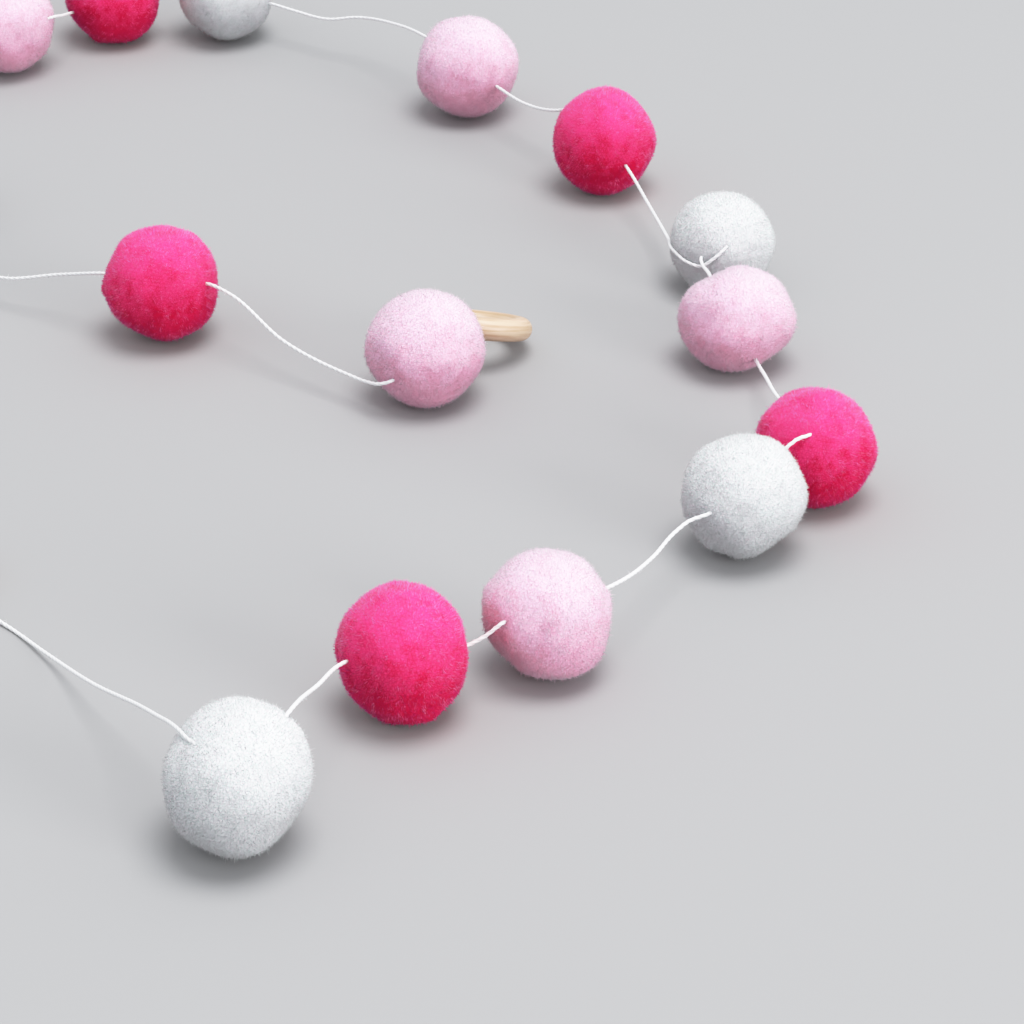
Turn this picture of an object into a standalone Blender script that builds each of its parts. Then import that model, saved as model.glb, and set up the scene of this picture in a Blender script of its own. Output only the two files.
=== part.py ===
"""Pom pom garland: fifteen plush yarn pompoms threaded on one cotton string, with a wooden ring tied on at
each end. It lies on a table in a loose spiral, as it is laid out to be looked at. Units are metres, +Z is up,
and the origin is on the table under the middle of the pompoms and rings."""

import math
from collections import namedtuple

import bmesh
import bpy
from mathutils import Euler, Matrix, Vector, noise
from mathutils.geometry import interpolate_bezier, intersect_point_line

MM = 0.001

# The cotton string.
STRING_DIAMETER = 1.05 * MM
THREADING_GAP = 0.33 * MM     # around the string where it passes through a pompom
FACE_GAP = 0.35 * MM          # between the string's cut end and its knot
POINT_SPACING = 26.0 * MM     # along a straight run
POINT_TURN = math.radians(45.0)

# The wooden rings and the ties on them.
RING_MIDDLE_RADIUS = 12.0 * MM
RING_ROD_RADIUS = 3.1 * MM
TIE_CLEARANCE = 0.3 * MM
KNOT_RADIUS = 1.3 * MM

# The pompoms' pile.
FOOT_SINK = 0.5 * MM          # how far a pompom settles on its flat foot
LUMP_HEIGHT = 0.88 * MM       # for a noise value of 1; the noise stays within about 0.6
LUMP_PITCH = 0.62             # in pompom radii
LUMP_START = Vector((0.0, 3.1, 0.0))
LUMP_STEP = Vector((7.3, 0.0, 1.7))    # from one pompom to the next, so that no two have the same lumps
CAGE_CUTS = 5                 # cuts along each side of the cube that is rounded into a ball
TURN_STEP = Vector((0.7, 1.1, 1.9))    # in radians, from one pompom to the next
LOCKS_PER_POMPOM = 9
LOCK_HEIGHT = 0.8 * MM
LOCK_TAPER = 0.45
LOCK_PITCH = 8.0 * MM         # the least distance from one lock to the next
LOCK_DEPTH = 6.6 * MM         # the lowest lock, below the pompom's middle
LOCK_CLEAR_OF_STRING = 5.0 * MM
FIRST_FACE, FACE_STRIDE = 11, 67       # a stride that visits every face of the ball out of order

# Yarn colours, linear red, green and blue.
YARN_COLOURS = {
    "pale pink": (0.80, 0.50, 0.62),
    "hot pink": (0.77, 0.045, 0.20),
    "white": (0.80, 0.81, 0.83),
}

# One row for each pompom along the string, in mm: its yarn, where it sits, and its size.
Pompom = namedtuple("Pompom", "yarn x y width depth height")
POMPOMS = [
    Pompom("pale pink", 24.0, -22.0, 31.0, 30.5, 31.0),
    Pompom("hot pink", -47.6, 14.5, 30.8, 31.0, 31.7),
    Pompom("white", -122.1, 87.5, 31.0, 31.0, 31.0),
    Pompom("pale pink", -112.8, 198.6, 31.3, 31.5, 31.3),
    Pompom("hot pink", -81.1, 223.2, 30.2, 30.5, 30.3),
    Pompom("white", -45.3, 224.5, 30.0, 31.0, 31.0),
    Pompom("pale pink", 33.0, 164.0, 31.5, 31.5, 31.2),
    Pompom("hot pink", 73.4, 108.3, 30.2, 30.8, 31.4),
    Pompom("white", 104.4, 43.5, 28.9, 28.5, 28.5),
    Pompom("pale pink", 106.0, -2.2, 31.4, 30.5, 28.5),
    Pompom("hot pink", 121.7, -74.2, 30.0, 30.0, 30.0),
    Pompom("white", 102.3, -100.0, 30.3, 31.0, 30.8),
    Pompom("pale pink", 54.3, -153.7, 29.7, 30.0, 30.5),
    Pompom("hot pink", 22.0, -171.0, 30.0, 31.0, 32.0),
    Pompom("white", -11.4, -222.6, 31.6, 34.2, 34.1),
]

# One row for each place where the shears cut the pile short or left it long: the pompom's number, the
# direction from its middle, and how far the pile stands out there, in mm.
TRIM_SPREAD = 0.5             # in pompom radii
Trim = namedtuple("Trim", "pompom x y z height")
TRIMS = [
    Trim(2, -0.5, -0.4, -0.8, -1.4),
    Trim(6, -0.5, -0.4, -0.8, -1.6),
    Trim(7, 0.8, -0.3, -0.5, -0.9),
    Trim(8, 0.7, -0.4, -0.6, -0.8),
    Trim(10, -0.5, 0.4, 0.8, -2.0),
    Trim(10, 0.6, -0.4, -0.7, -1.2),
    Trim(10, 0.8, 0.3, 0.5, -0.9),
    Trim(11, 0.7, 0.4, 0.6, -0.8),
    Trim(12, 0.5, -0.4, -0.8, -1.5),
    Trim(12, -0.6, -0.4, -0.7, -0.7),
    Trim(13, -0.7, -0.4, -0.6, -1.1),
    Trim(13, 0.7, -0.4, -0.6, 0.9),
    Trim(15, 0.7, -0.4, -0.6, -1.7),
    Trim(15, 0.8, 0.3, 0.5, 0.8),
]

# One row for each ring: its middle in mm, its lean about X and Y, where round the ring the tie is, and where
# round the rod its knot is, in degrees. The first ring leans on pompom 1, and the last lies on its own tie.
Ring = namedtuple("Ring", "name tie x y z lean_x lean_y tie_angle knot_angle")
RINGS = [
    Ring("ring_start", "tie_start", 36.9, 4.9, 7.95, -22.5, 6.0, 215.0, 50.0),
    Ring("ring_end", "tie_end", -94.5, -115.5, 3.9, -2.6, -2.2, -50.0, -15.0),
]

# Where the string runs between its two knots, in mm (x, y, z). It passes through each pompom from hole to
# hole and hangs in a shallow sag from one pompom to the next.
ROUTE_MM = [
    # through pompom 1, back to front
    (24.5, -8.5, 16.0), (24.0, -19.0, 15.0), (21.0, -28.5, 13.8), (18.2, -32.4, 12.9), (15.3, -34.5, 11.7),
    (12.4, -33.7, 10.5), (9.2, -30.2, 9.2), (3.5, -24.6, 8.6), (-14.0, -10.0, 11.0), (-28.0, 2.5, 18.0),
    # through pompom 2, right to left
    (-34.3, 7.6, 18.7), (-38.5, 10.5, 17.8), (-62.5, 14.5, 18.5), (-75.5, 23.0, 14.0), (-94.0, 32.5, 8.5),
    (-107.0, 53.0, 8.0),
    # through pompom 3, which the string turns round
    (-114.0, 74.5, 12.5), (-124.5, 102.5, 16.0), (-128.5, 126.0, 9.5), (-128.0, 154.0, 7.5),
    # through pompom 4, front to right
    (-119.5, 184.0, 14.0), (-97.0, 197.0, 18.0), (-95.5, 205.5, 15.0),
    # through pompoms 5 and 6, left to right
    (-93.5, 214.0, 12.5), (-67.0, 224.0, 16.0), (-60.5, 224.0, 15.5), (-31.0, 221.0, 13.0),
    (-23.0, 216.0, 12.5), (-11.0, 207.5, 13.0), (-3.5, 204.0, 15.0), (11.5, 189.0, 18.5),
    # through pompom 7, back left to front right
    (22.0, 172.0, 20.5), (42.5, 150.5, 14.0), (50.0, 139.0, 14.0), (60.5, 124.5, 18.0),
    # through pompom 8, back to front
    (65.5, 119.5, 21.0), (80.0, 93.5, 13.0), (85.1, 77.5, 10.0), (89.0, 60.5, 9.5),
    # over the flank of pompom 9, in at its front, and out again across itself
    (90.0, 49.3, 11.9), (91.2, 37.2, 13.9), (94.2, 32.9, 13.0), (97.9, 30.4, 12.9), (101.5, 29.4, 15.7),
    (104.5, 30.3, 18.3), (107.3, 34.4, 20.0), (107.4, 38.6, 19.9), (105.4, 41.6, 18.8), (101.8, 41.4, 16.9),
    (99.6, 38.4, 15.7), (99.0, 34.6, 15.1), (98.0, 30.2, 15.1), (98.3, 26.5, 15.1), (99.1, 20.0, 16.6),
    # through pompom 10, back left to front
    (99.5, 9.5, 20.0), (111.1, -15.8, 6.9), (112.4, -28.3, 9.4), (113.6, -40.5, 11.7), (115.2, -52.0, 14.5),
    # through pompom 11, back to front
    (115.5, -62.0, 20.0), (118.7, -85.6, 23.9), (116.0, -87.0, 23.7), (113.4, -88.2, 22.2),
    # through pompom 12, back right to front left
    (110.3, -89.4, 19.9), (93.2, -112.2, 17.2), (88.6, -113.8, 16.2), (85.6, -117.0, 15.5),
    (79.5, -128.5, 15.0),
    # through pompom 13, right to left
    (68.0, -148.5, 18.5), (49.5, -159.5, 17.8), (44.3, -164.3, 18.9), (40.5, -165.0, 16.0),
    # through pompom 14, right to left
    (35.5, -166.3, 13.8), (9.5, -180.0, 18.5), (4.5, -194.5, 22.0),
    # into the top of pompom 15 and along in its pile
    (-1.0, -216.5, 28.5), (-5.5, -225.0, 26.0), (-10.5, -230.0, 27.5), (-14.4, -231.3, 28.7),
    (-18.0, -229.4, 29.1), (-20.8, -226.5, 29.0), (-23.0, -222.4, 28.5),
    # down to the table, and along it to the last ring
    (-25.2, -217.5, 27.0), (-29.0, -209.0, 23.4), (-34.4, -196.2, 17.7), (-47.5, -173.0, 8.5),
    (-61.0, -150.0, 2.0), (-73.5, -134.5, 0.9),
]


def clear_scene():
    for old in list(bpy.data.objects):
        bpy.data.objects.remove(old)


def collection(name):
    made = bpy.data.collections.new(name)
    bpy.context.scene.collection.children.link(made)
    return made


def material(name, colour, roughness, sheen=0.0):
    made = bpy.data.materials.new(name)
    made.use_nodes = True
    shader = made.node_tree.nodes["Principled BSDF"]
    shader.inputs["Base Color"].default_value = (*colour, 1.0)
    shader.inputs["Roughness"].default_value = roughness
    shader.inputs["Sheen Weight"].default_value = sheen
    return made


def mesh_object(name, bm, group, finish):
    mesh = bpy.data.meshes.new(name)
    bm.to_mesh(mesh)
    bm.free()
    mesh.materials.append(finish)
    made = bpy.data.objects.new(name, mesh)
    group.objects.link(made)
    return made


def smooth_path(points):
    """Points along a smooth curve through the route's points, closer together where it bends."""
    spans = [b - a for a, b in zip(points, points[1:])]
    tangents = [spans[0].normalized()]
    for before, after in zip(spans, spans[1:]):
        blend = before.normalized() * after.length + after.normalized() * before.length
        tangents.append(blend / (before.length + after.length))
    tangents.append(spans[-1].normalized())
    path = [points[0]]
    for index, span in enumerate(spans):
        reach = span.length / 3.0
        start, end = points[index], points[index + 1]
        turn = tangents[index].angle(tangents[index + 1])
        steps = max(1, round(span.length / POINT_SPACING + turn / POINT_TURN))
        handle_out = start + tangents[index] * reach
        handle_in = end - tangents[index + 1] * reach
        path += interpolate_bezier(start, handle_out, handle_in, end, steps + 1)[1:]
    return path


def tube(name, path, radius, group, finish):
    """A round tube of eight sides along the path, with closed ends."""
    curve = bpy.data.curves.new(name, "CURVE")
    curve.dimensions = "3D"
    curve.bevel_depth = radius
    curve.bevel_resolution = 2
    curve.use_fill_caps = True
    curve.materials.append(finish)
    spline = curve.splines.new("POLY")
    spline.points.add(len(path) - 1)
    for point, place in zip(spline.points, path):
        point.co = (*place, 1.0)
    made = bpy.data.objects.new(name, curve)
    group.objects.link(made)
    return made


def needle_hole_cutter(path, cutters, finish):
    """The string's own path, a little wider, as a closed mesh that is cut out of every pompom."""
    curve = tube("needle_hole_curve", path, STRING_DIAMETER / 2 + THREADING_GAP, cutters, finish)
    bpy.context.view_layer.update()
    evaluated = curve.evaluated_get(bpy.context.evaluated_depsgraph_get())
    mesh = bpy.data.meshes.new_from_object(evaluated)
    bm = bmesh.new()
    bm.from_mesh(mesh)
    bmesh.ops.remove_doubles(bm, verts=bm.verts, dist=0.01 * MM)
    bmesh.ops.recalc_face_normals(bm, faces=bm.faces)
    bm.to_mesh(mesh)
    bm.free()
    cutter = bpy.data.objects.new("needle_hole", mesh)
    cutter.matrix_world = curve.matrix_world.copy()
    cutters.objects.link(cutter)
    bpy.data.objects.remove(curve)
    cutter.hide_render = True
    cutter.display_type = "WIRE"
    return cutter


def round_cage():
    """A ball of radius 1 whose faces are nearly square and even, from a cut-up cube."""
    bm = bmesh.new()
    bmesh.ops.create_cube(bm, size=2.0)
    bmesh.ops.subdivide_edges(bm, edges=bm.edges[:], cuts=CAGE_CUTS, use_grid_fill=True)
    for vert in bm.verts:
        even = Vector(math.tan(side * math.pi / 4) for side in vert.co)
        vert.co = even.normalized()
    return bm


def lump(direction, number):
    """How far the pile stands above or below the round, in metres: soft clumps, and where it was trimmed."""
    where = direction / LUMP_PITCH + LUMP_START + LUMP_STEP * number
    height = LUMP_HEIGHT * noise.noise(where)
    for row in TRIMS:
        if row.pompom == number:
            away = (direction - Vector((row.x, row.y, row.z)).normalized()).length
            height += row.height * MM * math.exp(-(away / TRIM_SPREAD) ** 2)
    return height


def near_span(place, start, end):
    """Whether a lock at this place would meet the string between these two of its points."""
    _, share = intersect_point_line(place, start, end)
    nearest = start.lerp(end, min(max(share, 0.0), 1.0))
    return (place - nearest).length < LOCK_CLEAR_OF_STRING


def raise_locks(bm, middle, path):
    """Low tapered locks of four sides, spread over the ball and clear of the string and the foot."""
    faces = list(bm.faces)
    chosen = []
    for step in range(len(faces)):
        face = faces[(FIRST_FACE + step * FACE_STRIDE) % len(faces)]
        centre = face.calc_center_median()
        low = centre.z < -LOCK_DEPTH
        threaded = any(near_span(centre + middle, a, b) for a, b in zip(path, path[1:]))
        crowded = any((centre - other.calc_center_median()).length < LOCK_PITCH for other in chosen)
        if not (low or threaded or crowded):
            chosen.append(face)
        if len(chosen) == LOCKS_PER_POMPOM:
            break
    raised = bmesh.ops.extrude_discrete_faces(bm, faces=chosen)["faces"]
    for face in raised:
        centre, outward = face.calc_center_median(), face.normal.copy()
        for vert in face.verts:
            vert.co = centre + (vert.co - centre) * LOCK_TAPER + outward * LOCK_HEIGHT


def pompom(number, row, path, cutter, group, finish):
    """One lumpy ball of trimmed pile with a flat foot, pierced where the string goes through it."""
    half = Vector((row.width, row.depth, row.height)) * 0.5 * MM
    middle = Vector((row.x * MM, row.y * MM, half.z - FOOT_SINK))
    turn = Euler(TURN_STEP * number).to_matrix()
    bm = round_cage()
    for vert in bm.verts:
        direction = turn @ vert.co
        vert.co = Vector(a * b for a, b in zip(direction, half)) + direction * lump(direction, number)
    raise_locks(bm, middle, path)
    everything = bm.verts[:] + bm.edges[:] + bm.faces[:]
    foot = Vector((0.0, 0.0, -middle.z))
    bmesh.ops.bisect_plane(bm, geom=everything, plane_co=foot, plane_no=(0, 0, 1), clear_inner=True)
    bmesh.ops.holes_fill(bm, edges=[edge for edge in bm.edges if edge.is_boundary])
    bmesh.ops.recalc_face_normals(bm, faces=bm.faces)
    made = mesh_object("pompom_%02d" % number, bm, group, finish)
    made.location = middle
    hole = made.modifiers.new("needle hole", "BOOLEAN")
    hole.operation = "DIFFERENCE"
    hole.object = cutter
    return made


def ring(row, group, finish):
    """A turned wooden ring of round section."""
    bpy.ops.mesh.primitive_torus_add(
        major_segments=36,
        minor_segments=10,
        major_radius=RING_MIDDLE_RADIUS,
        minor_radius=RING_ROD_RADIUS,
        location=Vector((row.x, row.y, row.z)) * MM,
        rotation=(math.radians(row.lean_x), math.radians(row.lean_y), 0.0),
    )
    made = bpy.context.object
    made.name = row.name
    made.data.materials.append(finish)
    for old in list(made.users_collection):
        old.objects.unlink(made)
    group.objects.link(made)
    made.data.shade_smooth()
    return made


def tie_frame(row):
    """Where the tie sits: X points out from the ring's middle, Y along the rod and Z along its axis."""
    lean = Euler((math.radians(row.lean_x), math.radians(row.lean_y), 0.0)).to_matrix().to_4x4()
    place = Matrix.Translation(Vector((row.x, row.y, row.z)) * MM) @ lean
    round_ring = Matrix.Rotation(math.radians(row.tie_angle), 4, "Z")
    return place @ round_ring @ Matrix.Translation((RING_MIDDLE_RADIUS, 0.0, 0.0))


def loop_radius():
    return RING_ROD_RADIUS + TIE_CLEARANCE + STRING_DIAMETER / 2


def knot_middle(row):
    angle = math.radians(row.knot_angle)
    reach = RING_ROD_RADIUS + TIE_CLEARANCE + KNOT_RADIUS
    return tie_frame(row) @ (Vector((math.cos(angle), 0.0, math.sin(angle))) * reach)


def string_end(row, toward):
    """The string's cut face, just clear of its knot on the side that the string comes from."""
    middle = knot_middle(row)
    return middle + (toward - middle).normalized() * (KNOT_RADIUS + FACE_GAP)


def tie(row, group, finish):
    """The string's turn round the ring's rod, drawn up into a round knot, as one solid."""
    knot_mesh = bmesh.new()
    bmesh.ops.create_uvsphere(knot_mesh, u_segments=12, v_segments=8, radius=KNOT_RADIUS)
    made = mesh_object(row.tie, knot_mesh, group, finish)
    made.matrix_world = Matrix.Translation(knot_middle(row))
    bpy.ops.mesh.primitive_torus_add(
        major_segments=24,
        minor_segments=6,
        major_radius=loop_radius(),
        minor_radius=STRING_DIAMETER / 2,
    )
    loop = bpy.context.object
    loop.name = row.tie + "_loop"
    loop.data.transform(tie_frame(row) @ Matrix.Rotation(math.radians(90.0), 4, "X"))
    return made, loop


def join_loop(made, loop, cutters):
    for old in list(loop.users_collection):
        old.objects.unlink(loop)
    cutters.objects.link(loop)
    loop.hide_render = True
    loop.display_type = "WIRE"
    joined = made.modifiers.new("turn round the rod", "BOOLEAN")
    joined.operation = "UNION"
    joined.object = loop


def build():
    clear_scene()
    garland = collection("pom_pom_garland")
    cutters = collection("cutters")
    yarns = {name: material(name + " yarn", colour, 0.95, 0.4) for name, colour in YARN_COLOURS.items()}
    cotton = material("white cotton string", (0.80, 0.80, 0.78), 0.9)
    wood = material("pale ring wood", (0.72, 0.50, 0.30), 0.5)

    route = [Vector(point) * MM for point in ROUTE_MM]
    first, last = RINGS
    route.insert(0, string_end(first, route[0]))
    route.append(string_end(last, route[-1]))
    path = smooth_path(route)
    cutter = needle_hole_cutter(path, cutters, cotton)

    for number, row in enumerate(POMPOMS, start=1):
        pompom(number, row, path, cutter, garland, yarns[row.yarn])
    tube("string", path, STRING_DIAMETER / 2, garland, cotton)
    for row in RINGS:
        ring(row, garland, wood)
        join_loop(*tie(row, garland, cotton), cutters)


build()
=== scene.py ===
import math
import random
from collections import namedtuple

import bmesh
import bpy
from mathutils import Euler, Matrix, Vector, kdtree, noise
from mathutils.geometry import interpolate_bezier


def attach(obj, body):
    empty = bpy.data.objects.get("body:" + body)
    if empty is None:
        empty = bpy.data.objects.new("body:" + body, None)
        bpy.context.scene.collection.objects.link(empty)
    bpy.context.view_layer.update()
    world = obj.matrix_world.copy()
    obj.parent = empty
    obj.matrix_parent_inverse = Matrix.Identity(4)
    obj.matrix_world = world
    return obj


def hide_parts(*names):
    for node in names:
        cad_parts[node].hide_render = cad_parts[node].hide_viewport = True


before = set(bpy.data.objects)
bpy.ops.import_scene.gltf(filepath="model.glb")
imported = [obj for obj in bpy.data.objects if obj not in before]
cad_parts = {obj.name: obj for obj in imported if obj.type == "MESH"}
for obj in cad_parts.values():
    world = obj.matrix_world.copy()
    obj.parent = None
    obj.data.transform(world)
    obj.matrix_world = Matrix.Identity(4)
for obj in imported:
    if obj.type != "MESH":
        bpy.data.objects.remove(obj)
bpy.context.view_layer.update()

MM = 0.001

# The camera looks down at the table by thirty degrees through a long lens, so that far and near pompoms are
# almost the same size.
CAMERA_PLACE = Vector((46.5, -843.6, 440.0)) * MM
CAMERA_AIM = Vector((46.5, -107.5, 15.0)) * MM
FOCAL_LENGTH = 125.0          # in mm, for a picture 36 mm wide
PICTURE_WIDTH = 36.0
NEAREST_SEEN = 20.0 * MM

camera = bpy.data.objects.new("camera", bpy.data.cameras.new("camera"))
camera.data.lens = FOCAL_LENGTH
camera.data.sensor_width = PICTURE_WIDTH
camera.data.clip_start = NEAREST_SEEN
camera.location = CAMERA_PLACE
camera.rotation_euler = (CAMERA_AIM - CAMERA_PLACE).to_track_quat("-Z", "Y").to_euler()
bpy.context.scene.collection.objects.link(camera)
bpy.context.scene.camera = camera

# The camera's response: even up to the middle tones, and then a soft shoulder that holds the white yarn.
# Each pair is a brightness in the scene and the brightness that it is shown with.
CAMERA_RESPONSE = [(0.3, 0.3), (0.6, 0.6), (0.8, 0.74), (1.0, 0.85), (1.2, 0.92), (1.5, 0.98)]
BRIGHTEST = 2.0               # in the scene, and shown as pure white
ALL_COLOURS = 3               # the curve that red, green and blue share
response = bpy.context.scene.view_settings
response.view_transform = "Standard"
response.use_curve_mapping = True
response.curve_mapping.white_level = (BRIGHTEST, BRIGHTEST, BRIGHTEST)
tone_curve = response.curve_mapping.curves[ALL_COLOURS]
for brightness, shown in CAMERA_RESPONSE:
    tone_curve.points.new(brightness / BRIGHTEST, shown)
response.curve_mapping.update()

# The string is one length of white cotton, three plies twisted together, with a little stray fluff. It is
# threaded with a needle through every pompom and hangs in a shallow sag from each to the next. Its points are
# in mm, from the knot on the first ring to the knot on the last.
STRING_DIAMETER = 1.05 * MM
STRING_STEP = 0.65 * MM
PLY_PITCH = 5.4 * MM          # along the string, for one ply to go round once
PLIES = 3
PLY_GROOVE = 0.13             # how deep the grooves between plies are, in string radii
STRING_ROUTE = [
    (25.15, -3.319, 15.866),
    # through pompom 1, back to front
    (24.5, -8.5, 16.0), (24.0, -19.0, 15.0), (21.0, -28.5, 13.8), (18.2, -32.4, 12.9), (15.3, -34.5, 11.7),
    (12.4, -33.7, 10.5), (9.2, -30.2, 9.2), (3.5, -24.6, 8.6), (-14.0, -10.0, 11.0), (-28.0, 2.5, 18.0),
    # through pompom 2, right to left
    (-34.3, 7.6, 18.7), (-38.5, 10.5, 17.8), (-62.5, 14.5, 18.5), (-75.5, 23.0, 14.0), (-94.0, 32.5, 8.5),
    (-107.0, 53.0, 8.0),
    # through pompom 3, which the string turns round
    (-114.0, 74.5, 12.5), (-124.5, 102.5, 16.0), (-128.5, 126.0, 9.5), (-128.0, 154.0, 7.5),
    # through pompom 4, front to right
    (-119.5, 184.0, 14.0), (-97.0, 197.0, 18.0), (-95.5, 205.5, 15.0),
    # through pompoms 5 and 6, left to right
    (-93.5, 214.0, 12.5), (-67.0, 224.0, 16.0), (-60.5, 224.0, 15.5), (-31.0, 221.0, 13.0),
    (-23.0, 216.0, 12.5), (-11.0, 207.5, 13.0), (-3.5, 204.0, 15.0), (11.5, 189.0, 18.5),
    # through pompom 7, back left to front right
    (22.0, 172.0, 20.5), (42.5, 150.5, 14.0), (50.0, 139.0, 14.0), (60.5, 124.5, 18.0),
    # through pompom 8, back to front
    (65.5, 119.5, 21.0), (80.0, 93.5, 13.0), (85.1, 77.5, 10.0), (89.0, 60.5, 9.5),
    # over the flank of pompom 9, in at its front, and out again across itself
    (90.0, 49.3, 11.9), (91.2, 37.2, 13.9), (94.2, 32.9, 13.0), (97.9, 30.4, 12.9), (101.5, 29.4, 15.7),
    (104.5, 30.3, 18.3), (107.3, 34.4, 20.0), (107.4, 38.6, 19.9), (105.4, 41.6, 18.8), (101.8, 41.4, 16.9),
    (99.6, 38.4, 15.7), (99.0, 34.6, 15.1), (98.0, 30.2, 15.1), (98.3, 26.5, 15.1), (99.1, 20.0, 16.6),
    # through pompom 10, back left to front
    (99.5, 9.5, 20.0), (111.1, -15.8, 6.9), (112.4, -28.3, 9.4), (113.6, -40.5, 11.7), (115.2, -52.0, 14.5),
    # through pompom 11, back to front
    (115.5, -62.0, 20.0), (118.7, -85.6, 23.9), (116.0, -87.0, 23.7), (113.4, -88.2, 22.2),
    # through pompom 12, back right to front left
    (110.3, -89.4, 19.9), (93.2, -112.2, 17.2), (88.6, -113.8, 16.2), (85.6, -117.0, 15.5),
    (79.5, -128.5, 15.0),
    # through pompom 13, right to left
    (68.0, -148.5, 18.5), (49.5, -159.5, 17.8), (44.3, -164.3, 18.9), (40.5, -165.0, 16.0),
    # through pompom 14, right to left
    (35.5, -166.3, 13.8), (9.5, -180.0, 18.5), (4.5, -194.5, 22.0),
    # into the top of pompom 15 and along in its pile
    (-1.0, -216.5, 28.5), (-5.5, -225.0, 26.0), (-10.5, -230.0, 27.5), (-14.4, -231.3, 28.7),
    (-18.0, -229.4, 29.1), (-20.8, -226.5, 29.0), (-23.0, -222.4, 28.5),
    # down to the table, and along it to the last ring
    (-25.2, -217.5, 27.0), (-29.0, -209.0, 23.4), (-34.4, -196.2, 17.7), (-47.5, -173.0, 8.5),
    (-61.0, -150.0, 2.0), (-73.5, -134.5, 0.9),
    (-82.477, -129.047, 3.301),
]
FLUFF_FIBRES = 700
FLUFF_LENGTH = 1.3 * MM
SHORTEST_FLUFF = 0.4          # in fluff lengths
FLATTEST_FLUFF = 0.3          # how steeply the flattest fibre leaves the string; the steepest is 1
FLUFF_THICKNESS = 0.05 * MM
FLUFF_CORNERS = (0.0, 2.1, 4.2)    # where round a fibre its three corners are, in radians
FLUFF_ROOTING = 0.4           # in string diameters from the string's middle
FLUFF_ABOVE_TABLE = 0.1 * MM
FLUFF_SEED = 4
BARE_STEPS = 2                # steps of the string without fluff, next to each knot


def smooth_path(points, step):
    """Points a step apart along a smooth curve through the route's points."""
    spans = [b - a for a, b in zip(points, points[1:])]
    tangents = [spans[0].normalized()]
    for before, after in zip(spans, spans[1:]):
        blend = before.normalized() * after.length + after.normalized() * before.length
        tangents.append(blend / (before.length + after.length))
    tangents.append(spans[-1].normalized())
    path = [points[0]]
    for index, span in enumerate(spans):
        reach = span.length / 3.0
        start, end = points[index], points[index + 1]
        handle_out = start + tangents[index] * reach
        handle_in = end - tangents[index + 1] * reach
        steps = max(1, round(span.length / step))
        path += interpolate_bezier(start, handle_out, handle_in, end, steps + 1)[1:]
    return path


def lay_strand(bm, path, radius, closed=False, sides=12):
    """A twisted strand along the path: a round tube with a groove between each ply and the next."""
    count = len(path)
    side = Vector((0.0, 0.0, 1.0))
    rings, turn = [], 0.0
    for index, place in enumerate(path):
        before = path[index - 1] if index or closed else place
        after = path[(index + 1) % count] if index < count - 1 or closed else place
        along = (after - before).normalized()
        side = (side - along * side.dot(along)).normalized()
        across = along.cross(side)
        if index:
            turn += (place - path[index - 1]).length / PLY_PITCH * math.tau
        ring = []
        for step in range(sides):
            angle = math.tau * step / sides
            reach = radius * (1.0 - PLY_GROOVE * (1.0 - math.cos(PLIES * angle)))
            outward = side * math.cos(angle + turn) + across * math.sin(angle + turn)
            ring.append(bm.verts.new(place + outward * reach))
        rings.append(ring)
    pairs = list(zip(rings, rings[1:]))
    if closed:
        pairs.append((rings[-1], rings[0]))
    for here, there in pairs:
        for step in range(sides):
            after = (step + 1) % sides
            bm.faces.new((here[step], here[after], there[after], there[step]))
    if not closed:
        bm.faces.new(rings[0][::-1])
        bm.faces.new(rings[-1])
    bmesh.ops.recalc_face_normals(bm, faces=bm.faces)


def stray(chance, size):
    """A random step, at most this far along each axis."""
    return Vector([chance.uniform(-1.0, 1.0) for _ in range(3)]) * size


def add_fluff(bm, path, fibres, chance):
    """Stray cotton fibres: long thin spikes that leave the string at a low angle."""
    for _ in range(fibres):
        index = chance.randrange(BARE_STEPS, len(path) - BARE_STEPS - 1)
        along = (path[index + 1] - path[index]).normalized()
        outward = along.cross(stray(chance, 1.0)).normalized()
        across = along.cross(outward)
        root = path[index] + outward * STRING_DIAMETER * FLUFF_ROOTING
        reach = FLUFF_LENGTH * chance.uniform(SHORTEST_FLUFF, 1.0)
        heading = outward * chance.uniform(FLATTEST_FLUFF, 1.0) + along * chance.uniform(-1.0, 1.0)
        tip = root + heading.normalized() * reach
        tip.z = max(tip.z, FLUFF_ABOVE_TABLE)
        base = []
        for a in FLUFF_CORNERS:
            corner = root + (along * math.cos(a) + across * math.sin(a)) * FLUFF_THICKNESS
            base.append(bm.verts.new(corner))
        end = bm.verts.new(tip)
        bm.faces.new(base)
        for a, b in ((0, 2), (2, 1), (1, 0)):
            bm.faces.new((base[a], base[b], end))


def finished_piece(name, bm, material, slot, *nodes):
    """The mesh as a smooth piece in its material, riding on the garland in place of its CAD nodes."""
    mesh = bpy.data.meshes.new(name)
    bm.to_mesh(mesh)
    bm.free()
    mesh.shade_smooth()
    mesh.materials.append(material)
    piece = bpy.data.objects.new(name, mesh)
    bpy.context.scene.collection.objects.link(piece)
    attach(piece, "root")
    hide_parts(*nodes)
    return piece


def shader_of(material):
    """The material's own surface shader, made ready for nodes."""
    material.use_nodes = True
    return material.node_tree.nodes["Principled BSDF"]


SHADED_COTTON = (0.72, 0.73, 0.75, 1.0)
LIT_COTTON = (0.86, 0.86, 0.87, 1.0)
COTTON_FIBRES_PER_METRE = 2200.0

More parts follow.
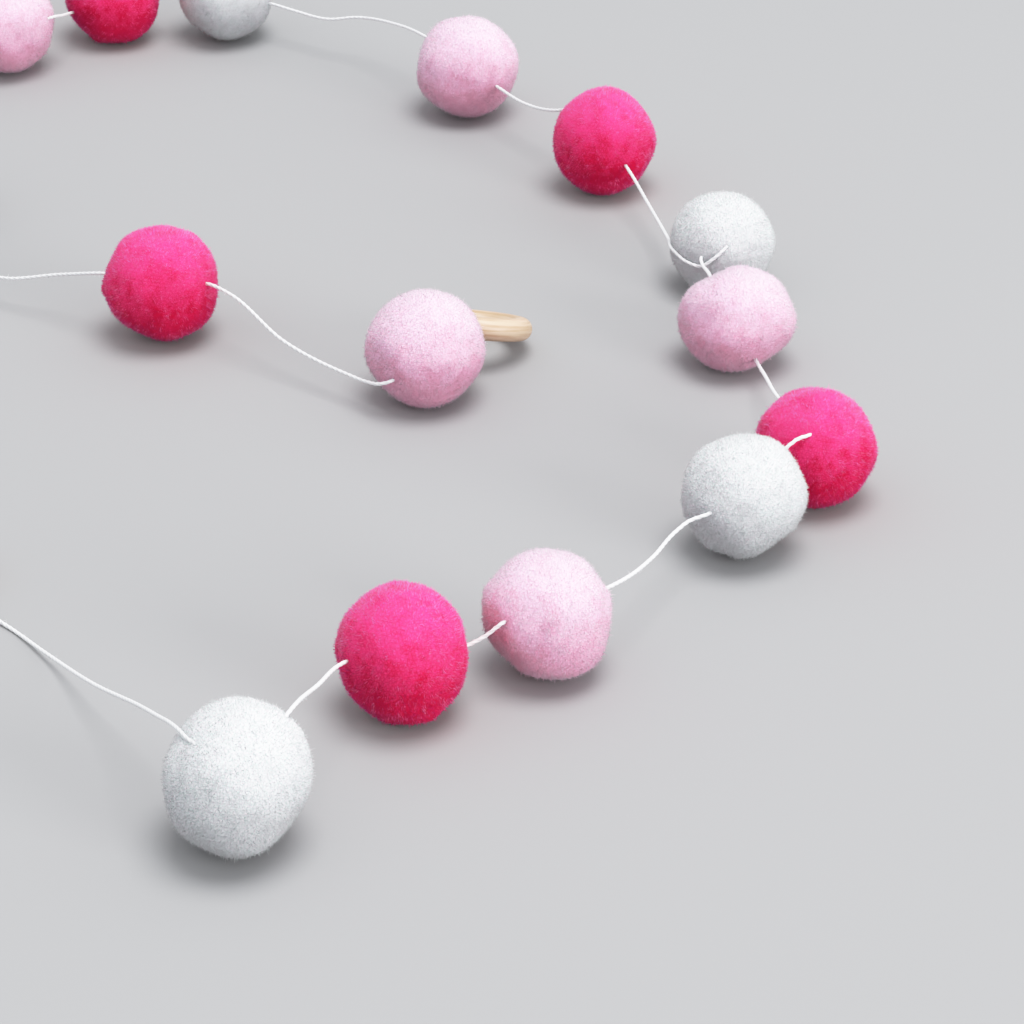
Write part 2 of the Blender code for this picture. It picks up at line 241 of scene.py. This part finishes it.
cotton = bpy.data.materials.new("twisted_cotton")
shader = shader_of(cotton)
shader.inputs["Roughness"].default_value = 0.9
shader.inputs["Specular IOR Level"].default_value = 0.25
shader.inputs["Sheen Weight"].default_value = 0.25
nodes, links = cotton.node_tree.nodes, cotton.node_tree.links
place = nodes.new("ShaderNodeTexCoord")
fibres = nodes.new("ShaderNodeTexNoise")
fibres.inputs["Scale"].default_value = COTTON_FIBRES_PER_METRE
fibres.inputs["Detail"].default_value = 3.0
shade = nodes.new("ShaderNodeMix")
shade.data_type = "RGBA"
shade.inputs["A"].default_value = SHADED_COTTON
shade.inputs["B"].default_value = LIT_COTTON
relief = nodes.new("ShaderNodeBump")
relief.inputs["Strength"].default_value = 0.5
relief.inputs["Distance"].default_value = 0.05 * MM
links.new(place.outputs["Object"], fibres.inputs["Vector"])
links.new(fibres.outputs["Fac"], shade.inputs["Factor"])
links.new(shade.outputs["Result"], shader.inputs["Base Color"])
links.new(fibres.outputs["Fac"], relief.inputs["Height"])
links.new(relief.outputs["Normal"], shader.inputs["Normal"])

string_path = smooth_path([Vector(point) * MM for point in STRING_ROUTE], STRING_STEP)
string_mesh = bmesh.new()
lay_strand(string_mesh, string_path, STRING_DIAMETER / 2)
add_fluff(string_mesh, string_path, FLUFF_FIBRES, random.Random(FLUFF_SEED))
string = finished_piece("cotton_string", string_mesh, cotton, "cotton_string", "string")

# Each end of the string goes once round the rod of its ring and is drawn up into an overhand knot, with the
# spare end cut off close, so a tie is the turn and the knot together.
RING_MIDDLE_RADIUS = 12.0 * MM
RING_ROD_RADIUS = 3.1 * MM
TIE_CLEARANCE = 0.3 * MM
KNOT_RADIUS = 1.3 * MM
KNOT_STRAND_RADIUS = 0.42 * MM
KNOT_REACH = 3.0              # how far the knot's curve reaches before it is drawn to size
KNOT_DEPTH = 1.9              # and how thick it is through its crossings, in the same measure
TURN_STEPS = 48
KNOT_STEPS = 72

# One row for each ring: its middle in mm, its lean about X and Y, where round the ring the tie is, and where
# round the rod its knot is, in degrees.
Ring = namedtuple("Ring", "name tie x y z lean_x lean_y tie_angle knot_angle")
RINGS = [
    Ring("ring_start", "tie_start", 36.9, 4.9, 7.95, -22.5, 6.0, 215.0, 50.0),
    Ring("ring_end", "tie_end", -94.5, -115.5, 3.9, -2.6, -2.2, -50.0, -15.0),
]


def ring_frame(row):
    """The ring's own frame: its middle is the origin and Z is its axis."""
    lean = Euler((math.radians(row.lean_x), math.radians(row.lean_y), 0.0)).to_matrix().to_4x4()
    return Matrix.Translation(Vector((row.x, row.y, row.z)) * MM) @ lean


def knot_curve(a):
    """A point of an overhand knot's curve, joined end to end."""
    return Vector((
        math.sin(a) + 2.0 * math.sin(2.0 * a),
        math.cos(a) - 2.0 * math.cos(2.0 * a),
        -KNOT_DEPTH * math.sin(3.0 * a),
    ))


def tie_mesh(row):
    """A twisted turn round the rod, and an overhand knot against its outside."""
    tie_frame = ring_frame(row) @ Matrix.Rotation(math.radians(row.tie_angle), 4, "Z")
    tie_frame = tie_frame @ Matrix.Translation((RING_MIDDLE_RADIUS, 0.0, 0.0))
    reach = RING_ROD_RADIUS + TIE_CLEARANCE + STRING_DIAMETER / 2
    bm = bmesh.new()
    angles = [math.tau * step / TURN_STEPS for step in range(TURN_STEPS)]
    turn = [tie_frame @ (Vector((math.cos(a), 0.0, math.sin(a))) * reach) for a in angles]
    lay_strand(bm, turn, STRING_DIAMETER / 2, closed=True)
    knot_angle = math.radians(row.knot_angle)
    knot_reach = RING_ROD_RADIUS + TIE_CLEARANCE + KNOT_RADIUS
    knot_middle = Vector((math.cos(knot_angle), 0.0, math.sin(knot_angle))) * knot_reach
    knot_place = tie_frame @ Matrix.Translation(knot_middle)
    spread = (KNOT_RADIUS - KNOT_STRAND_RADIUS) / KNOT_REACH
    angles = [math.tau * step / KNOT_STEPS for step in range(KNOT_STEPS)]
    knot = [knot_place @ (knot_curve(a) * spread) for a in angles]
    lay_strand(bm, knot, KNOT_STRAND_RADIUS, closed=True)
    return bm


ties = [finished_piece(row.tie + "_knot", tie_mesh(row), cotton, "cotton_string", row.tie) for row in RINGS]

# The pompoms are balls of cut yarn, wound, tied and trimmed to a dense plush. Every ball is a little lumpy
# from the shears, its cut ends lean together in soft clumps, it sits on a small flat foot, and its pile
# parts where the string goes in.
FOOT_SINK = 0.5 * MM          # how far a pompom settles on its foot
FLOOR_SOFTNESS = 0.25 * MM    # how gently the pile bends flat there
LUMP_HEIGHT = 0.88 * MM
LUMP_PITCH = 0.62             # in pompom radii
LUMP_START = 3.1
LUMP_STEP_X = 7.3             # from one pompom to the next, so that no two have the same lumps
LUMP_STEP_Z = 1.7

# The mass of the pile, in which single ends can't be told apart.
CORE_DEPTH = 0.42 * MM        # below the solid's surface
CORE_CUTS = 5
CORE_UNEVENNESS = 0.25        # how far its points stray, in spacings
CLUMP_RISE = 0.35 * MM
LOWEST_CLUMP = 0.3            # in clump rises
CLUMP_STRAY = 0.15 * MM

# The cut ends that stand out of it.
ENDS_PER_POMPOM = 11000
END_LENGTH = 0.72 * MM        # out of the mass
END_ROOTING = 0.25 * MM       # down in the mass
END_THICKNESS = 0.12 * MM
END_UNEVENNESS = (0.75, 1.15)    # the shortest and the longest, in end lengths
END_STRAY = 0.02              # from an even spread, in pompom radii
MISSED_ENDS = 0.04            # the share of ends that the shears missed
MISSED_LENGTH = 1.6           # in end lengths
TUFT_PITCH = 1.1 * MM
TUFT_UNEVENNESS = 0.8         # how much longer and shorter the tufts of one ball are cut
CLUMP_PITCH = 2.2 * MM
CLUMP_LEAN = 0.5              # the tangent of the angle that the ends of a clump lean by, at most
STRAY_LEAN = 0.3
SWAY_SEED = 1
GOLDEN_ANGLE = math.pi * (3.0 - math.sqrt(5.0))    # from one end to the next, round the ball

# Where the string goes in.
PARTING = 0.5                 # how far the ends lean away from the string
DIMPLE_DEPTH = 0.3 * MM
DIMPLE_RADIUS = 1.0 * MM
PARTED_SHADE = 0.25           # how much painted shade deepens the colour there
PARTED_RADIUS = 4.0 * MM

# How pale each part of the pile is painted where it faces fully up: 0 is the painted shade deep at the
# roots, and 1 is a lit tip. Underneath, in full painted shade, clumps and tips keep only the underside's
# shade tone.
UNDERSIDE_SHADE_TONE = 0.1
CORE_TONE = 0.4
CLUMP_TONE = 0.6              # on top of the underside's shade tone
ROOT_TONE = 0.5
TIP_TONE = 0.9                # on top of the underside's shade tone
TIP_VARIATION = (0.85, 1.1)
FULL_SHADE_BELOW = -0.35          # the height on the ball, in radii, under which the pile is painted in full shade
SHADE_TO_LIGHT_RANGE = 1.2              # from there to where it is painted fully lit
PILE_EVENNESS = 0.92          # how far the fine ends catch the light as one soft surface
FIBRE_SPECKLE = 0.4           # how much paler and deeper single fibres are
YARN_TONES = [("Body Colour", 0.2, 0.65), ("Lit Tip Colour", 0.7, 1.15)]    # where each begins, and is full

# One row for each colour of yarn: its tips, which carry painted light, its body, and its roots, which carry
# painted shade, the strength and tint of its sheen, and how much paler and deeper its tufts are.
Yarn = namedtuple("Yarn", "tip body root sheen tint mottling")
YARNS = {
    "pale_pink": Yarn(
        tip=(1.0, 0.63, 0.86), body=(1.0, 0.585, 0.79), root=(0.74, 0.33, 0.46),
        sheen=0.2, tint=(1.0, 0.85, 1.0), mottling=0.25,
    ),
    "hot_pink": Yarn(
        tip=(1.0, 0.12, 0.43), body=(1.0, 0.05, 0.22), root=(0.60, 0.007, 0.05),
        sheen=0.1, tint=(1.0, 0.5, 0.7), mottling=0.8,
    ),
    "white": Yarn(
        tip=(0.755, 0.765, 0.79), body=(0.73, 0.74, 0.765), root=(0.54, 0.545, 0.565),
        sheen=0.15, tint=(1.0, 1.0, 1.0), mottling=0.15,
    ),
}

# One row for each pompom along the string, in mm: its yarn, where it sits, and its size.
Pompom = namedtuple("Pompom", "yarn x y width depth height")
POMPOMS = [
    Pompom("pale_pink", 24.0, -22.0, 31.0, 30.5, 31.0),
    Pompom("hot_pink", -47.6, 14.5, 30.8, 31.0, 31.7),
    Pompom("white", -122.1, 87.5, 31.0, 31.0, 31.0),
    Pompom("pale_pink", -112.8, 198.6, 31.3, 31.5, 31.3),
    Pompom("hot_pink", -81.1, 223.2, 30.2, 30.5, 30.3),
    Pompom("white", -45.3, 224.5, 30.0, 31.0, 31.0),
    Pompom("pale_pink", 33.0, 164.0, 31.5, 31.5, 31.2),
    Pompom("hot_pink", 73.4, 108.3, 30.2, 30.8, 31.4),
    Pompom("white", 104.4, 43.5, 28.9, 28.5, 28.5),
    Pompom("pale_pink", 106.0, -2.2, 31.4, 30.5, 28.5),
    Pompom("hot_pink", 121.7, -74.2, 30.0, 30.0, 30.0),
    Pompom("white", 102.3, -100.0, 30.3, 31.0, 30.8),
    Pompom("pale_pink", 54.3, -153.7, 29.7, 30.0, 30.5),
    Pompom("hot_pink", 22.0, -171.0, 30.0, 31.0, 32.0),
    Pompom("white", -11.4, -222.6, 31.6, 34.2, 34.1),
]

# One row for each place where the shears cut the pile short or left it long: the pompom's number, the
# direction from its middle, and how far the pile stands out there, in mm.
TRIM_SPREAD = 0.5             # in pompom radii
Trim = namedtuple("Trim", "pompom x y z height")
TRIMS = [
    Trim(2, -0.5, -0.4, -0.8, -1.4),
    Trim(6, -0.5, -0.4, -0.8, -1.6),
    Trim(7, 0.8, -0.3, -0.5, -0.9),
    Trim(8, 0.7, -0.4, -0.6, -0.8),
    Trim(10, -0.5, 0.4, 0.8, -2.0),
    Trim(10, 0.6, -0.4, -0.7, -1.2),
    Trim(10, 0.8, 0.3, 0.5, -0.9),
    Trim(11, 0.7, 0.4, 0.6, -0.8),
    Trim(12, 0.5, -0.4, -0.8, -1.5),
    Trim(12, -0.6, -0.4, -0.7, -0.7),
    Trim(13, -0.7, -0.4, -0.6, -1.1),
    Trim(13, 0.7, -0.4, -0.6, 0.9),
    Trim(15, 0.7, -0.4, -0.6, -1.7),
    Trim(15, 0.8, 0.3, 0.5, 0.8),
]

# One row for each small tuft that stands out of the pile, or dent in it, in the same way.
TUFT_SPREAD = 0.17            # in pompom radii
TUFTS = [
    Trim(2, -1.0, -0.05, -0.08, 1.1),
    Trim(2, 0.53, 0.42, 0.73, 0.7),
    Trim(5, -0.33, -0.47, -0.82, 0.9),
    Trim(9, -0.51, -0.43, -0.74, 1.5),
    Trim(9, -0.85, -0.28, -0.44, -0.7),
    Trim(11, -0.10, -0.66, 0.74, 0.5),
    Trim(12, -0.08, -0.53, -0.84, 0.6),
    Trim(12, 0.67, -0.39, -0.62, -0.6),
    Trim(12, 0.83, -0.30, -0.47, 0.6),
    Trim(12, -0.56, -0.44, -0.70, 0.5),
    Trim(13, -0.93, 0.20, 0.32, 0.7),
    Trim(13, 0.95, 0.15, 0.27, 0.7),
    Trim(14, -1.0, 0.0, 0.05, 0.8),
    Trim(14, -0.22, -0.52, -0.83, 0.7),
    Trim(14, 0.12, -0.53, -0.84, 0.7),
    Trim(14, 0.43, -0.48, -0.77, 0.8),
    Trim(14, 0.97, 0.11, 0.20, -1.3),
    Trim(14, -0.10, 0.50, 0.86, 0.7),
]


def pile_group():
    """Yarn pile: painted shade down between the cut ends, painted light at their paler tips, with clumps and
    fine fibres.
    """
    group = bpy.data.node_groups.new("yarn pile", "ShaderNodeTree")
    for name, kind, default in (
        ("Lit Tip Colour", "NodeSocketColor", (0.8, 0.8, 0.8, 1.0)),
        ("Shaded Root Colour", "NodeSocketColor", (0.5, 0.5, 0.5, 1.0)),
        ("Body Colour", "NodeSocketColor", (0.7, 0.7, 0.7, 1.0)),
        ("Clump Scale", "NodeSocketFloat", 260.0),
        ("Fibre Scale", "NodeSocketFloat", 3200.0),
    ):
        group.interface.new_socket(name, in_out="INPUT", socket_type=kind).default_value = default
    group.interface.new_socket("Colour", in_out="OUTPUT", socket_type="NodeSocketColor")
    group.interface.new_socket("Height", in_out="OUTPUT", socket_type="NodeSocketFloat")
    nodes, links = group.nodes, group.links
    given, made = nodes.new("NodeGroupInput"), nodes.new("NodeGroupOutput")
    place = nodes.new("ShaderNodeTexCoord")
    clumps, ends = nodes.new("ShaderNodeTexNoise"), nodes.new("ShaderNodeTexNoise")
    clumps.inputs["Detail"].default_value = 2.0
    ends.inputs["Detail"].default_value = 2.0
    links.new(given.outputs["Clump Scale"], clumps.inputs["Scale"])
    links.new(given.outputs["Fibre Scale"], ends.inputs["Scale"])
    for texture in (clumps, ends):
        links.new(place.outputs["Object"], texture.inputs["Vector"])
    patches = nodes.new("ShaderNodeMapRange")
    patches.inputs["From Min"].default_value = 0.45
    patches.inputs["From Max"].default_value = 0.68
    patches.inputs["To Max"].default_value = -0.18
    links.new(clumps.outputs["Fac"], patches.inputs["Value"])
    pile = nodes.new("ShaderNodeAttribute")
    pile.attribute_name = "pile"
    speckle = nodes.new("ShaderNodeMath")
    speckle.operation = "MULTIPLY_ADD"
    speckle.inputs[1].default_value = FIBRE_SPECKLE
    links.new(ends.outputs["Fac"], speckle.inputs[0])
    links.new(pile.outputs["Fac"], speckle.inputs[2])
    height = nodes.new("ShaderNodeMath")
    height.operation = "ADD"
    links.new(speckle.outputs["Value"], height.inputs[0])
    links.new(patches.outputs["Result"], height.inputs[1])
    colour = given.outputs["Shaded Root Colour"]
    for name, low, high in YARN_TONES:
        reach = nodes.new("ShaderNodeMapRange")
        reach.inputs["From Min"].default_value = low
        reach.inputs["From Max"].default_value = high
        links.new(height.outputs["Value"], reach.inputs["Value"])
        mix = nodes.new("ShaderNodeMix")
        mix.data_type = "RGBA"
        links.new(reach.outputs["Result"], mix.inputs["Factor"])
        links.new(colour, mix.inputs["A"])
        links.new(given.outputs[name], mix.inputs["B"])
        colour = mix.outputs["Result"]
    links.new(colour, made.inputs["Colour"])
    links.new(ends.outputs["Fac"], made.inputs["Height"])
    return group


def yarn_material(name, row, group):
    """One colour of yarn, as a plush."""
    material = bpy.data.materials.new(name + "_yarn")
    shader = shader_of(material)
    shader.inputs["Roughness"].default_value = 0.95
    shader.inputs["Specular IOR Level"].default_value = 0.05
    shader.inputs["Subsurface Weight"].default_value = 0.6
    shader.inputs["Subsurface Radius"].default_value = (1.0, 0.7, 0.8)
    shader.inputs["Subsurface Scale"].default_value = 0.6 * MM
    shader.inputs["Sheen Weight"].default_value = row.sheen
    shader.inputs["Sheen Roughness"].default_value = 0.3
    shader.inputs["Sheen Tint"].default_value = (*row.tint, 1.0)
    nodes, links = material.node_tree.nodes, material.node_tree.links
    pile = nodes.new("ShaderNodeGroup")
    pile.node_tree = group
    pile.inputs["Lit Tip Colour"].default_value = (*row.tip, 1.0)
    pile.inputs["Body Colour"].default_value = (*row.body, 1.0)
    pile.inputs["Shaded Root Colour"].default_value = (*row.root, 1.0)
    relief = nodes.new("ShaderNodeBump")
    relief.inputs["Strength"].default_value = 0.3
    relief.inputs["Distance"].default_value = 0.06 * MM
    links.new(pile.outputs["Colour"], shader.inputs["Base Color"])
    links.new(pile.outputs["Height"], relief.inputs["Height"])
    links.new(relief.outputs["Normal"], shader.inputs["Normal"])
    return material


def lump(direction, number):
    """How far the pile stands above or below the round: soft lumps, cuts of the shears, and small tufts."""
    where = direction / LUMP_PITCH + Vector((LUMP_STEP_X * number, LUMP_START, LUMP_STEP_Z * number))
    height = LUMP_HEIGHT * noise.noise(where)
    for rows, spread in ((TRIMS, TRIM_SPREAD), (TUFTS, TUFT_SPREAD)):
        for row in rows:
            if row.pompom == number:
                away = (direction - Vector((row.x, row.y, row.z)).normalized()).length
                height += row.height * MM * math.exp(-(away / spread) ** 2)
    return height


def tree_of(points):
    """The points as a tree, which finds the one nearest to a place."""
    tree = kdtree.KDTree(len(points))
    for index, point in enumerate(points):
        tree.insert(point, index)
    tree.balance()
    return tree


class Ball:
    """One pompom's shape: its lumpy surface, and how the string and the table press its pile."""

    def __init__(self, number, row):
        self.number = number
        self.half = Vector((row.width, row.depth, row.height)) * 0.5 * MM
        self.middle = Vector((row.x * MM, row.y * MM, self.half.z - FOOT_SINK))
        self.string_places = tree_of([point for point in string_path if self.is_clear(point)])

    def surface(self, direction):
        """The surface in this direction, seen from the middle."""
        return Vector(a * b for a, b in zip(direction, self.half)) + direction * lump(direction, self.number)

    def is_clear(self, point):
        """Whether this point of the string is out of the pile."""
        away = point - self.middle
        return away.length > self.surface(away.normalized()).length - STRING_DIAMETER / 2

    def settle(self, place, outward):
        """Parts the pile round the string, and presses it flat on the table."""
        _, _, distance = self.string_places.find(place)
        place -= outward * DIMPLE_DEPTH * math.exp(-(distance / DIMPLE_RADIUS) ** 2)
        place.z = FLOOR_SOFTNESS * math.log1p(math.exp(place.z / FLOOR_SOFTNESS))
        return place

    def note_slopes(self, bm):
        """Keeps the slope at each point of the mass, which the fine ends share."""
        self.slopes = [vert.normal.copy() for vert in bm.verts]
        self.slope_places = tree_of([vert.co for vert in bm.verts])

    def slope_at(self, place):
        _, index, _ = self.slope_places.find(place)
        return self.slopes[index]


def painted_top_light(direction):
    """How far the pile is painted as lit here: painted shade underneath, and painted light on top."""
    return min(max((direction.z - FULL_SHADE_BELOW) / SHADE_TO_LIGHT_RANGE, 0.0), 1.0)


def build_mass(bm, ball, chance, tone, nap):
    """The mass of the pile, as a softly broken ball."""
    bmesh.ops.create_icosphere(bm, subdivisions=CORE_CUTS, radius=1.0)
    spacing = next(iter(bm.edges)).calc_length()
    for vert in bm.verts:
        direction = (vert.co + stray(chance, spacing * CORE_UNEVENNESS)).normalized()
        vert.co = ball.middle + ball.surface(direction) - direction * CORE_DEPTH
    bm.normal_update()
    ball.note_slopes(bm)
    clumps = set(bmesh.ops.poke(bm, faces=bm.faces[:])["verts"])
    for vert in bm.verts:
        outward = (vert.co - ball.middle).normalized()
        top_lit = painted_top_light(outward)
        vert[nap] = ball.slope_at(vert.co)
        # Painted shade: the mass between the ends is deep in colour, less so where it faces up, and its
        # clumps are paler.
        vert[tone] = CORE_TONE * top_lit
        if vert in clumps:
            vert.co += outward * CLUMP_RISE * chance.uniform(LOWEST_CLUMP, 1.0) + stray(chance, CLUMP_STRAY)
            vert[tone] = UNDERSIDE_SHADE_TONE + CLUMP_TONE * top_lit
        vert.co = ball.settle(vert.co, outward)


def add_end(bm, ball, direction, root, tip, spin):
    """One cut end: a thin spike from the root to the tip. Returns its tip and the corners of its base."""
    side = direction.orthogonal().normalized()
    across = direction.cross(side)
    base = []
    for a in (spin, spin + math.tau / 3, spin + 2 * math.tau / 3):
        foot = root + (side * math.cos(a) + across * math.sin(a)) * END_THICKNESS
        base.append(bm.verts.new(ball.settle(foot, direction)))
    point = bm.verts.new(ball.settle(tip, direction))
    bm.faces.new(base[::-1])
    for a, b in ((0, 1), (1, 2), (2, 0)):
        bm.faces.new((base[a], base[b], point))
    return point, base


def add_ends(bm, ball, chance, tone, nap, mottling):
    """Cut yarn ends, spread evenly over the ball. They lean with their clumps and away from the string."""
    ends = ENDS_PER_POMPOM
    for index in range(ends):
        height = 1.0 - 2.0 * (index + 0.5) / ends
        around = GOLDEN_ANGLE * index
        flat = math.sqrt(1.0 - height * height)
        direction = Vector((flat * math.cos(around), flat * math.sin(around), height))
        direction = (direction + stray(chance, END_STRAY)).normalized()
        root = ball.middle + ball.surface(direction) - direction * (CORE_DEPTH + END_ROOTING)
        lean = noise.noise_vector(root / CLUMP_PITCH) * CLUMP_LEAN + stray(chance, STRAY_LEAN)
        near, _, distance = ball.string_places.find(root)
        lean += (root - near).normalized() * PARTING * math.exp(-(distance / DIMPLE_RADIUS) ** 2)
        tuft = noise.noise(root / TUFT_PITCH)
        long = END_LENGTH * (chance.uniform(*END_UNEVENNESS) + TUFT_UNEVENNESS * tuft)
        long *= MISSED_LENGTH if chance.random() < MISSED_ENDS else 1.0
        tip = root + (direction + lean).normalized() * (long + END_ROOTING)
        point, base = add_end(bm, ball, direction, root, tip, chance.uniform(0.0, math.tau))
        top_lit = painted_top_light(direction)
        slope = ball.slope_at(root)
        # Tufts are paler or deeper at random, and near the string the pile is painted darker, as painted
        # shade where it parts.
        mottle_and_parted_shade = mottling * tuft - PARTED_SHADE * math.exp(-(distance / PARTED_RADIUS) ** 2)
        # Painted light and shade: a tip is paler the more it faces up, and the roots of an end keep a deeper
        # colour.
        point[tone] = UNDERSIDE_SHADE_TONE + TIP_TONE * top_lit * chance.uniform(*TIP_VARIATION) + mottle_and_parted_shade
        point[nap] = slope
        for corner in base:
            corner[tone], corner[nap] = ROOT_TONE * top_lit + mottle_and_parted_shade, slope


def pile_mesh(number, row):
    """A pompom's pile. Each point keeps its tone of painted light and shade, and the slope of the pile as a
    whole, called its nap.
    """
    bm = bmesh.new()
    tone = bm.verts.layers.float.new("pile")
    nap = bm.verts.layers.float_vector.new("nap")
    ball = Ball(number, row)
    chance = random.Random(number)
    build_mass(bm, ball, chance, tone, nap)
    add_ends(bm, ball, chance, tone, nap, YARNS[row.yarn].mottling)
    return bm


def soften_light(mesh):
    """Turns the fine ends' shading towards that of the pile as a whole, as a dense plush catches light."""
    slopes = [Vector(entry.vector) for entry in mesh.attributes["nap"].data]
    own = [vert.normal.copy() for vert in mesh.vertices]
    soft = [a.lerp(b, PILE_EVENNESS).normalized() for a, b in zip(own, slopes)]
    mesh.normals_split_custom_set_from_vertices(soft)


pile_look = pile_group()
yarn_materials = {name: yarn_material(name, row, pile_look) for name, row in YARNS.items()}

# The noise that sways the clumps would take its offsets from the clock without a seed.
noise.seed_set(SWAY_SEED)
for number, row in enumerate(POMPOMS, start=1):
    node = "pompom_%02d" % number
    material = yarn_materials[row.yarn]
    plush = finished_piece(node + "_plush", pile_mesh(number, row), material, "pile_" + row.yarn, node)
    soften_light(plush.data)

# The rings are turned from a pale close-grained wood and sanded, with a round rod. The first leans on the
# first pompom, and the last lies on the table on its own tie.
GRAIN_LENGTH = 18.0 * MM
GRAIN_PITCH = 0.8 * MM
DEEP_GRAIN = (0.44, 0.29, 0.18, 1.0)
PALE_WOOD = (0.61, 0.46, 0.335, 1.0)

wood = bpy.data.materials.new("pale_ring_wood")
shader = shader_of(wood)
shader.inputs["Roughness"].default_value = 0.42
nodes, links = wood.node_tree.nodes, wood.node_tree.links
place = nodes.new("ShaderNodeTexCoord")
stretch = nodes.new("ShaderNodeMapping")
stretch.vector_type = "TEXTURE"
stretch.inputs["Rotation"].default_value = (math.radians(RINGS[0].lean_x), math.radians(RINGS[0].lean_y), 0.0)
stretch.inputs["Scale"].default_value = (GRAIN_LENGTH, GRAIN_LENGTH, GRAIN_PITCH)
grain = nodes.new("ShaderNodeTexNoise")
grain.inputs["Scale"].default_value = 1.0
grain.inputs["Detail"].default_value = 4.0
grain.inputs["Roughness"].default_value = 0.6
tone = nodes.new("ShaderNodeValToRGB")
tone.color_ramp.elements[0].position = 0.36
tone.color_ramp.elements[0].color = DEEP_GRAIN
tone.color_ramp.elements[1].position = 0.58
tone.color_ramp.elements[1].color = PALE_WOOD
relief = nodes.new("ShaderNodeBump")
relief.inputs["Strength"].default_value = 0.15
relief.inputs["Distance"].default_value = 0.05 * MM
links.new(place.outputs["Object"], stretch.inputs["Vector"])
links.new(stretch.outputs["Vector"], grain.inputs["Vector"])
links.new(grain.outputs["Fac"], tone.inputs["Fac"])
links.new(tone.outputs["Color"], shader.inputs["Base Color"])
links.new(grain.outputs["Fac"], relief.inputs["Height"])
links.new(relief.outputs["Normal"], shader.inputs["Normal"])


def ring_mesh(row, around=96, across=24):
    """A turned ring with a round rod."""
    bm = bmesh.new()
    frame_of_ring = ring_frame(row)
    loops = []
    for step in range(around):
        a = math.tau * step / around
        loop = []
        for side in range(across):
            b = math.tau * side / across
            reach = RING_MIDDLE_RADIUS + RING_ROD_RADIUS * math.cos(b)
            place = Vector((reach * math.cos(a), reach * math.sin(a), RING_ROD_RADIUS * math.sin(b)))
            loop.append(bm.verts.new(frame_of_ring @ place))
        loops.append(loop)
    for here, there in zip(loops, loops[1:] + loops[:1]):
        for side in range(across):
            after = (side + 1) % across
            bm.faces.new((here[side], there[side], there[after], here[after]))
    bmesh.ops.recalc_face_normals(bm, faces=bm.faces)
    return bm


for row in RINGS:
    finished_piece(row.name + "_turned", ring_mesh(row), wood, "ring_wood", row.name)

# The studio: a plain pale table top under a soft dome, with one large soft light high above it and another in
# front on the right.
TABLE_REACH = 3.0             # on each side of the middle
TABLE_COLOUR = (0.32, 0.32, 0.325, 1.0)
SKY_COLOUR = (0.95, 0.97, 1.0, 1.0)
SKY_STRENGTH = 0.97

table_corners = [(x * TABLE_REACH, y * TABLE_REACH, 0.0) for x, y in ((-1, -1), (1, -1), (1, 1), (-1, 1))]
table_mesh = bpy.data.meshes.new("table_top")
table_mesh.from_pydata(table_corners, [], [(0, 1, 2, 3)])
table_top = bpy.data.objects.new("table_top", table_mesh)
table_finish = bpy.data.materials.new("pale_table")
shader = shader_of(table_finish)
shader.inputs["Base Color"].default_value = TABLE_COLOUR
shader.inputs["Roughness"].default_value = 0.9
table_mesh.materials.append(table_finish)
bpy.context.scene.collection.objects.link(table_top)


def soft_light(name, place, size, power):
    """A round soft light in this place, turned to the middle of the table."""
    lamp = bpy.data.lights.new(name, "AREA")
    lamp.shape = "DISK"
    lamp.size = size
    lamp.energy = power
    made = bpy.data.objects.new(name, lamp)
    made.location = place
    made.rotation_euler = (-Vector(place)).to_track_quat("-Z", "Y").to_euler()
    bpy.context.scene.collection.objects.link(made)


soft_light("overhead_light", place=(0.38, -0.22, 2.46), size=1.6, power=57.0)
soft_light("side_light", place=(1.85, -1.55, 0.65), size=1.2, power=36.0)
world = bpy.data.worlds.new("studio")
world.use_nodes = True
world.node_tree.nodes["Background"].inputs["Color"].default_value = SKY_COLOUR
world.node_tree.nodes["Background"].inputs["Strength"].default_value = SKY_STRENGTH
bpy.context.scene.world = world
